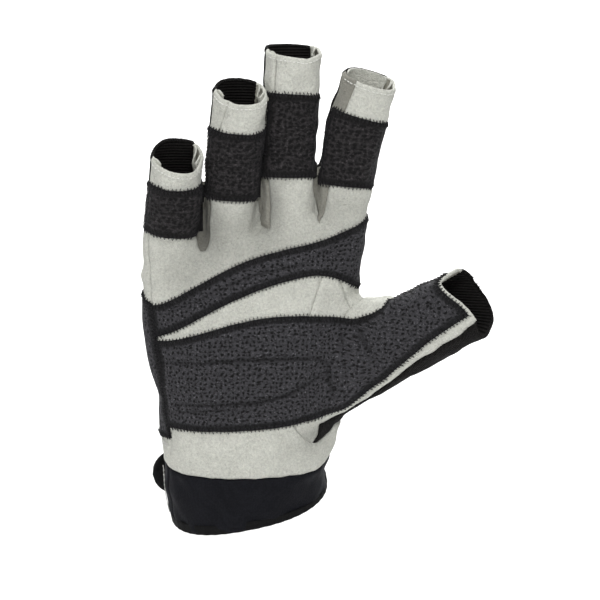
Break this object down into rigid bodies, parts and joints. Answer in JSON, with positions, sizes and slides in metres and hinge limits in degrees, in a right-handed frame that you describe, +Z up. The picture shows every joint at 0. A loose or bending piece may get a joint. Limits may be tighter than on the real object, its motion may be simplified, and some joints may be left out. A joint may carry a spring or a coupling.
{
  "type": "paddling glove",
  "caption": "Right-hand paddling glove with open finger ends, suede palm, textured grip patches, knit back and neoprene cuff, held open as worn",
  "frame": {"origin": "middle of the cuff's open end, where the wrist goes in", "axes": "+Z up from the cuff to the finger ends, palm facing -Y, thumb towards +X"},
  "size_m": [0.1467, 0.0687, 0.2063],
  "materials": {
    "suede": "matt light grey synthetic suede",
    "knit": "matt black ribbed stretch knit",
    "textured": "charcoal grip cloth with fine raised dots",
    "neoprene": "navy-black jersey-faced neoprene",
    "binding": "black folded tape",
    "strap": "black padded pull tab"
  },
  "bodies": {
    "root": {"palm_panel": "suede", "web_gusset": "suede", "pinky_side_panel": "suede", "ring_side_panel": "suede", "middle_side_panel": "suede", "index_side_panel": "suede", "back_panel": "knit", "index_facing": "suede", "thumb_front": "suede", "thumb_back": "knit", "pinky_band": "textured", "ring_band": "textured", "middle_band": "textured", "index_band": "textured", "palm_band": "textured", "heel_patch": "textured", "edge_patch": "textured", "cuff": "neoprene", "cuff_binding": "binding", "wrist_strap": "strap"}
  },
  "joints": []
}
